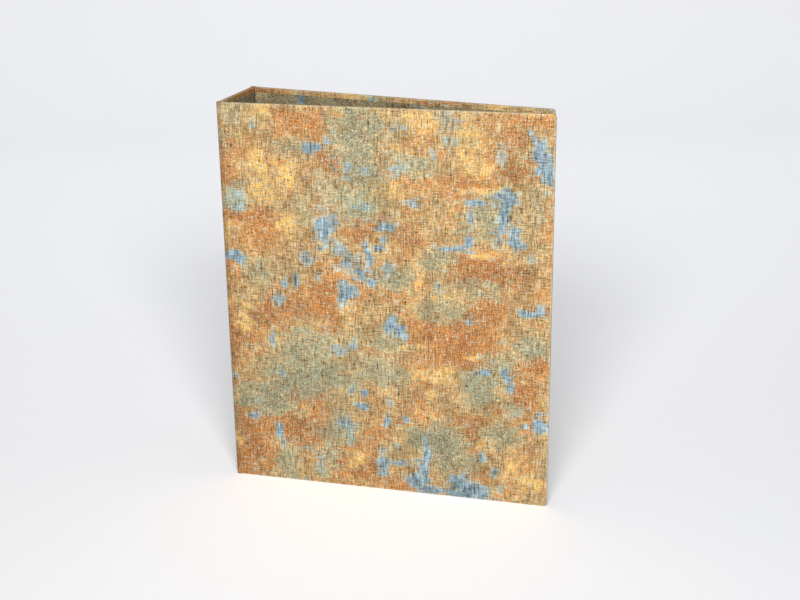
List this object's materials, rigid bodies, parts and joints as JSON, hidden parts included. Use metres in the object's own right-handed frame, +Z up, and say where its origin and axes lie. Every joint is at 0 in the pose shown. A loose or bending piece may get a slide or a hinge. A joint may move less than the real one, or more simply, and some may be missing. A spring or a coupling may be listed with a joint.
{
  "type": "ring binder",
  "caption": "Cloth-covered A4 ring binder with lined boards, a wide spine and a lever-opened D-ring mechanism riveted inside the back cover, standing on its tail edge.",
  "frame": {"origin": "on the ground under the middle of the standing binder's bounding box", "axes": "+Z up towards the head edge, +X along the back cover from the spine to the fore edge, +Y out through the back cover"},
  "size_m": [0.2744, 0.075, 0.32],
  "materials": {
    "printed_cloth": "matt linen-weave bookcloth, mottled rust, ochre, sage and pale blue",
    "printed_lining": "matt cloth lining in the same mottled print",
    "greyboard": "raw grey board",
    "nickel_steel": "bright nickel plate"
  },
  "bodies": {
    "back_cover": {"back_cover_cloth": "printed_cloth", "back_board": "greyboard", "back_lining": "printed_lining", "ring_housing": "nickel_steel", "top_lever_pin": "nickel_steel", "bottom_lever_pin": "nickel_steel", "upper_rivet": "nickel_steel", "lower_rivet": "nickel_steel"},
    "spine": {"spine_cloth": "printed_cloth", "spine_board": "greyboard", "spine_lining": "printed_lining"},
    "front_cover": {"front_cover_cloth": "printed_cloth", "front_board": "greyboard", "front_lining": "printed_lining"},
    "spine_side_rings": {"spine_side_rail": "nickel_steel", "curved_ring_half_1": "nickel_steel", "curved_ring_half_2": "nickel_steel", "curved_ring_half_3": "nickel_steel", "curved_ring_half_4": "nickel_steel"},
    "fore_edge_side_rings": {"fore_edge_side_rail": "nickel_steel", "straight_ring_half_1": "nickel_steel", "straight_ring_half_2": "nickel_steel", "straight_ring_half_3": "nickel_steel", "straight_ring_half_4": "nickel_steel"},
    "top_lever": {"top_lever": "nickel_steel"},
    "bottom_lever": {"bottom_lever": "nickel_steel"}
  },
  "joints": [
    {"name": "back_hinge", "type": "hinge", "parent": "back_cover", "child": "spine", "pos_m": [-0.13728, 0.03629, 0.16], "axis": [0, 0, -1], "range_deg": [-1.5, 185]},
    {"name": "front_hinge", "type": "hinge", "parent": "spine", "child": "front_cover", "pos_m": [-0.12425, -0.03757, 0.16], "axis": [0, 0, -1], "range_deg": [-1.5, 180]},
    {"name": "spine_side_rings_snap", "type": "hinge", "parent": "back_cover", "child": "spine_side_rings", "pos_m": [-0.11038, 0.02864, 0.16], "axis": [0, 0, -1], "range_deg": [0, 14]},
    {"name": "fore_edge_side_rings_snap", "type": "hinge", "parent": "back_cover", "child": "fore_edge_side_rings", "pos_m": [-0.08417, 0.02864, 0.16], "axis": [0, 0, 1], "range_deg": [0, 14.1]},
    {"name": "top_lever_press", "type": "hinge", "parent": "back_cover", "child": "top_lever", "pos_m": [-0.09728, 0.02764, 0.293], "axis": [-1, 0, 0], "range_deg": [0, 29.5]},
    {"name": "bottom_lever_press", "type": "hinge", "parent": "back_cover", "child": "bottom_lever", "pos_m": [-0.09728, 0.02764, 0.027], "axis": [1, 0, 0], "range_deg": [0, 29.5]}
  ],
  "couplings": [
    {"joint": "fore_edge_side_rings_snap", "follows": "spine_side_rings_snap", "ratio": 1},
    {"joint": "top_lever_press", "follows": "spine_side_rings_snap", "ratio": 2.1},
    {"joint": "bottom_lever_press", "follows": "spine_side_rings_snap", "ratio": 2.1}
  ]
}
